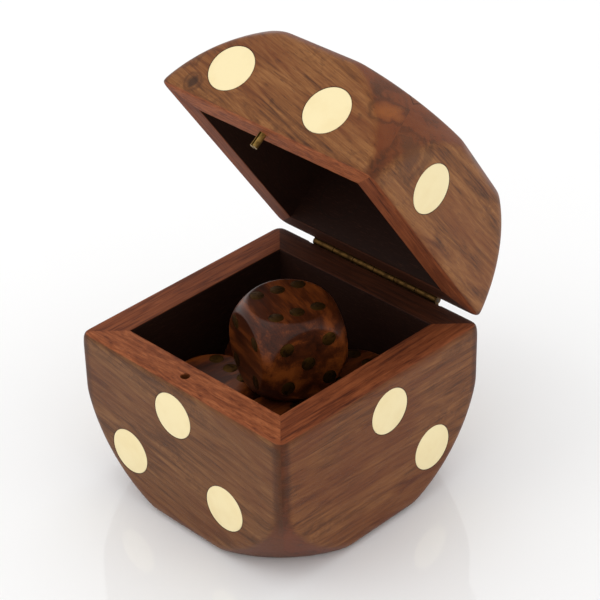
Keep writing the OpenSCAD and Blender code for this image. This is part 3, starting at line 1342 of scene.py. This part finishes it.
@dataclass
class Dice:
    """Five equal dice with brass pips let in flush, made once and copied."""

    seats: Sequence[DieSeat]
    model: DieSeat
    ball_over: float = 5.3 * MM
    voxel: float = 0.45 * MM
    rub: int = 3
    pip_r: float = 2.65 * MM
    pip_t: float = 1 * MM
    pip_gap: float = 0.05 * MM
    pip_ease: float = 0.12 * MM
    pip_ease_steps: int = 2

    def build(self) -> None:
        """Makes one die and its pips, and sets copies of them in every seat."""
        low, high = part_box(f"die_{self.model.name}")
        places = solids(f"pips_{self.model.name}", self.model.matrix)
        body = self._body((high.z - low.z) / 2, places)
        pips = self._pips(places)
        for seat in self.seats:
            wood = DiceFinish("dice_wood").dress(seat.matrix, seat.seed)
            self._set(body, seat, f"die_{seat.name}", "dice_wood", wood)
            self._set(pips, seat, f"pips_{seat.name}", "pip_brass", PIP_BRASS.dress(seat.matrix))
        for made in (body, pips):
            bpy.data.objects.remove(made)

    @staticmethod
    def _set(made: Piece, seat: DieSeat, node: str, slot: str, material: bpy.types.Material) -> None:
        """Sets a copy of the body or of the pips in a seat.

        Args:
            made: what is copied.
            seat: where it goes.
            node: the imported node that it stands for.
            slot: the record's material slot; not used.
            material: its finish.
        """
        piece = Bench.copy(made, f"{node}_made")
        Bench.seat(piece, seat.matrix)
        deliver(piece, node, material)

    @staticmethod
    def _out(place: Vector) -> Vector:
        """The direction of the face that a pip lies in.

        Args:
            place: the pip's middle, on a die that lies at the origin.

        Returns:
            The direction.
        """
        axis = max(range(3), key=lambda i: abs(place[i]))
        out = Vector((0, 0, 0))
        out[axis] = math.copysign(1, place[axis])
        return out

    def _body(self, half: float, places: Sequence[Vector]) -> Piece:
        """Makes the wooden cube, rounded by a ball, with a pocket for each pip.

        Args:
            half: half of the die's side.
            places: the middles of the pips.

        Returns:
            The body, at the origin.
        """
        corner = Vector((half, half, half))
        body = Bench.block("die_body", -corner, corner)
        Bench.combine(body, Bench.ball("ball", ORIGIN, half + self.ball_over), "INTERSECT")
        Bench.sand(body, self.voxel, self.rub)
        tools = []
        for place in places:
            out = self._out(place)
            start = place - out * self.pip_t / 2
            end = start + out * self.pip_t * 2
            tools.append(Bench.bar("pocket", start, end, self.pip_r + self.pip_gap, Facets.PIP))
        Bench.combine(body, Bench.join(tools, "pockets"), "DIFFERENCE")
        Bench.polish(body)
        return body

    def _pips(self, places: Sequence[Vector]) -> Piece:
        """Makes the pips, each a short bar with an eased rim.

        Args:
            places: their middles.

        Returns:
            All the pips as one piece.
        """
        pips = []
        for place in places:
            reach = self._out(place) * self.pip_t / 2
            pip = Bench.bar("pip", place - reach, place + reach, self.pip_r, Facets.PIP)
            Bench.ease(pip, self.pip_ease, self.pip_ease_steps)
            pips.append(pip)
        group = Bench.join(pips, "pips")
        Bench.polish(group)
        return group


@dataclass
class Screws:
    """Slotted brass screws of one hinge leaf, driven into the rear wall."""

    node: str
    seat: Matrix
    head_r: float = 1.6 * MM
    head_t: float = 0.8 * MM
    shank_r: float = 0.8 * MM
    slot_w: float = 0.4 * MM
    slot_deep: float = 0.35 * MM
    slot_over: float = 1.5
    head_ease: float = 0.15 * MM
    head_ease_steps: int = 2
    slot_turns: tuple[float, ...] = (20.0, 75.0, -35.0)

    def build(self) -> None:
        """Makes the screws as separate solids in one piece."""
        low, high = self._span()
        screws = []
        for middle, turn in zip(solids(self.node, self.seat), self.slot_turns):
            tip = Vector((middle.x, low, middle.z))
            top = Vector((middle.x, high, middle.z))
            screws.append(self._screw(tip, top, turn))
        group = Bench.join(screws, f"{self.node}_slotted")
        Bench.polish(group)
        Bench.seat(group, self.seat)
        deliver(group, self.node, BRASS.dress(self.seat))

    def _screw(self, tip: Vector, top: Vector, turn: float) -> Piece:
        """Makes one screw.

        Args:
            tip: the end of its shank.
            top: the middle of its head's face.
            turn: turn of its slot in degrees.

        Returns:
            The screw.
        """
        out = Side.REAR.out
        screw = Bench.bar("screw", top - out * self.head_t, top, self.head_r, Facets.BORE)
        Bench.ease(screw, self.head_ease, self.head_ease_steps)
        shank = Bench.bar("shank", tip, top - out * self.head_t / 2, self.shank_r, Facets.SHANK)
        Bench.combine(screw, shank, "UNION")
        reach = Vector((self.head_r * self.slot_over, self.slot_deep, self.slot_w / 2))
        slot = Bench.block("slot", -reach, reach)
        Bench.seat(slot, Matrix.Translation(top) @ Matrix.Rotation(math.radians(turn), 4, "Y"))
        Bench.combine(screw, slot, "DIFFERENCE")
        return screw

    def _span(self) -> Span:
        """How far the screws reach along Y, before they are set in their seat.

        Returns:
            The places of their tips and of their heads' faces.
        """
        back = self.seat.inverted()
        depths = [(back @ vert.co).y for vert in frame["nodes"][self.node].data.vertices]
        return min(depths), max(depths)


@dataclass
class Hardware:
    """The screws, and the hinge's leaves and pin and the catch pin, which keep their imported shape."""

    lid_seat: Matrix

    def build(self) -> None:
        """Makes the screws and gives each other piece of hardware its metal."""
        here = Matrix.Identity(4)
        Screws("hinge_base_screws", here).build()
        Screws("hinge_lid_screws", self.lid_seat).build()
        finishes = {
            "hinge_base_leaf": HINGE_BRASS.dress(here), "hinge_lid_leaf": HINGE_BRASS.dress(self.lid_seat),
            "catch_pin": BRASS.dress(self.lid_seat), "hinge_pin": STEEL.dress(here),
        }
        for node, material in finishes.items():
            mesh = frame["nodes"][node].data
            mesh.materials.clear()
            mesh.materials.append(material)
            LOG.info("%s: packed shape, new finish", node)


@dataclass(frozen=True)
class View:
    """The photograph's camera: its direction, distance and lens, with pixels of a 600 pixel frame."""

    azimuth: float = 45.78
    elevation: float = 34.47
    distance: float = 776.57 * MM
    target: Vector = Vector((0, 0, 50 * MM))
    lens_px: float = 2181.14
    shift_right_px: float = -19.09
    shift_down_px: float = 59.98
    roll: float = -1.64
    frame_px: float = 600.0
    sensor: float = 36.0
    clip_end: float = 20.0

    def place(self) -> None:
        """Adds the camera."""
        data = bpy.data.cameras.new("camera")
        camera = bpy.data.objects.new("camera", data)
        bpy.context.scene.collection.objects.link(camera)
        az, el = math.radians(self.azimuth), math.radians(self.elevation)
        back = Vector((math.sin(az) * math.cos(el), -math.cos(az) * math.cos(el), math.sin(el)))
        camera.location = self.target + back * self.distance
        turn = (-back).to_track_quat("-Z", "Y").to_matrix().to_4x4()
        camera.rotation_euler = (turn @ Matrix.Rotation(math.radians(self.roll), 4, "Z")).to_euler()
        data.sensor_width = self.sensor
        data.lens = self.lens_px / self.frame_px * self.sensor
        data.shift_x = -self.shift_right_px / self.frame_px
        data.shift_y = self.shift_down_px / self.frame_px
        data.clip_end = self.clip_end
        bpy.context.scene.camera = camera


@dataclass
class Studio:
    """A pale floor, one soft lamp and a white surround."""

    floor_size: float = 6.0
    floor_colour: Colour = (0.97, 0.97, 0.97)
    mirror_share: float = 0.06
    mirror_roughness: float = 0.04
    world_light: float = 1.0
    lamp_power: float = 2.6
    lamp_size: float = 0.8
    lamp_place: Vector = Vector((-0.5, -0.9, 1.4))
    lamp_aim: Vector = Vector((0, 0, 0.06))

    def build(self) -> None:
        """Adds floor, lamp and surround."""
        self._floor()
        self._lamp()
        self._surround()
        bpy.context.scene.view_settings.view_transform = "Standard"

    def _floor(self) -> None:
        """Adds the floor, which shows white with the box's shadow and a faint mirror image."""
        Bench.pick()
        bpy.ops.mesh.primitive_plane_add(size=self.floor_size)
        floor = bpy.context.active_object
        floor.name = "floor"
        shader = Shader(bpy.data.materials.new("pale_floor"))
        matt = shader.node("ShaderNodeBsdfDiffuse", None, {"Color": (*self.floor_colour, 1)})
        mirror = {"Color": WHITE, "Roughness": self.mirror_roughness}
        gloss = shader.node("ShaderNodeBsdfGlossy", None, mirror)
        shader.show(shader.node("ShaderNodeMixShader", None, {0: self.mirror_share, 1: matt, 2: gloss}))
        floor.data.materials.append(shader.holder)

    def _lamp(self) -> None:
        """Adds a square area lamp that looks at the box."""
        data = bpy.data.lights.new("key", "AREA")
        data.size = self.lamp_size
        data.energy = self.lamp_power
        lamp = bpy.data.objects.new("key", data)
        lamp.location = self.lamp_place
        lamp.rotation_euler = (self.lamp_aim - self.lamp_place).to_track_quat("-Z", "Y").to_euler()
        bpy.context.scene.collection.objects.link(lamp)

    def _surround(self) -> None:
        """Makes the surround plain white light."""
        world = bpy.data.worlds.new("surround")
        shader = Shader(world)
        light = {"Color": WHITE, "Strength": self.world_light}
        shader.show(shader.node("ShaderNodeBackground", None, light), "ShaderNodeOutputWorld")
        bpy.context.scene.world = world


BRASS = MetalFinish("brass", linear(150, 122, 66), linear(104, 80, 42), 0.36)
HINGE_BRASS = MetalFinish("hinge_brass", linear(96, 70, 36), linear(70, 49, 25), 0.42)
PIP_BRASS = MetalFinish("aged_brass", linear(84, 58, 24), linear(46, 30, 14), 0.5)
STEEL = MetalFinish("dull_steel", linear(90, 80, 68), linear(60, 52, 46), 0.4)

GREY_BROWN = Tones(linear(70, 39, 18), linear(104, 64, 33), linear(128, 86, 50), linear(92, 44, 18))
RED_BROWN = Tones(linear(66, 33, 13), linear(106, 61, 28), linear(132, 84, 45), linear(98, 44, 16))
TAN_BROWN = Tones(linear(70, 38, 17), linear(122, 74, 36), linear(150, 100, 56), linear(108, 52, 22))

BASE_WOODS = {
    Side.FRONT: WoodFinish("front_wood", GREY_BROWN, Grain.X, slant=9, seed=1.3),
    Side.RIGHT: WoodFinish("right_wood", RED_BROWN, Grain.Y, slant=2, seed=4.1, rim=DEEP_RIM),
    Side.REAR: WoodFinish("rear_wood", RED_BROWN, Grain.X, seed=8.2, rim=SHADED_RIM),
    Side.LEFT: WoodFinish("left_wood", GREY_BROWN, Grain.Y, seed=6.4, rim=DEEP_RIM),
}
FLOOR_WOOD = WoodFinish("floor_wood", RED_BROWN, Grain.X, seed=3.3)
LID_FRONT_EYES = (
    Eye((-36.0, 69.0), 3.2, linear(44, 26, 16)),
    Eye((-44.5, 78.0), 5.0, linear(84, 50, 28)),
    Eye((37.5, 88.0), 4.6, linear(142, 80, 34)),
)
LID_RIGHT_EYES = (Eye((-38.0, 80.0), 7.0, linear(92, 54, 30)),)
LID_WOODS = {
    Side.FRONT: WoodFinish("lid_front_wood", TAN_BROWN, Grain.X, 13, 2.6, 0.5, LID_FRONT_EYES),
    Side.RIGHT: WoodFinish("lid_right_wood", TAN_BROWN, Grain.Y, -4, 5.5, 0.0, LID_RIGHT_EYES, DEEP_RIM),
    Side.REAR: WoodFinish("lid_rear_wood", RED_BROWN, Grain.X, seed=9.7, rim=SHADED_RIM),
    Side.LEFT: WoodFinish("lid_left_wood", TAN_BROWN, Grain.Y, seed=7.1, rim=DEEP_RIM),
}
TOP_WOOD = WoodFinish("top_wood", TAN_BROWN, Grain.X, seed=3.9)

BASE_SPOTS = {
    Side.FRONT: "base_front_spots", Side.LEFT: "base_left_spots", Side.REAR: "base_rear_spot",
    Side.RIGHT: "base_right_spots",
}
LID_SPOTS = {
    Side.FRONT: "lid_front_spots", Side.LEFT: "lid_left_spots", Side.REAR: "lid_rear_spot",
    Side.RIGHT: "lid_right_spot",
}

TOP_SEAT = DieSeat("top", -20, 1.0)
DICE_SEATS = (
    DieSeat("front_left", 84, 2.2), DieSeat("front_right", 93, 3.1), DieSeat("rear_left", 94, 4.7),
    DieSeat("rear_right", 87, 5.9), TOP_SEAT,
)


def main() -> None:
    """Builds the box, its hardware, the dice and the studio in order."""
    logging.basicConfig(level=logging.INFO, format="%(name)s %(message)s")
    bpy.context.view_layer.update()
    sizes = Measures.read()
    cube = SandedCube(sizes.side)
    Base(
        sizes, cube.build(sizes.rim, Base.WAY), sizes.rim, Matrix.Identity(4), BASE_WOODS, FLOOR_WOOD,
        "base_floor", BASE_SPOTS, "base_bottom_spot").build()
    Lid(
        sizes, cube.build(sizes.lid_rim, Lid.WAY), sizes.lid_rim, sizes.lid_seat, LID_WOODS, TOP_WOOD,
        "lid_top_panel", LID_SPOTS, "lid_top_spots").build()
    Hardware(sizes.lid_seat).build()
    Dice(DICE_SEATS, TOP_SEAT).build()
    View().place()
    Studio().build()


if __name__ == "__main__":
    main()
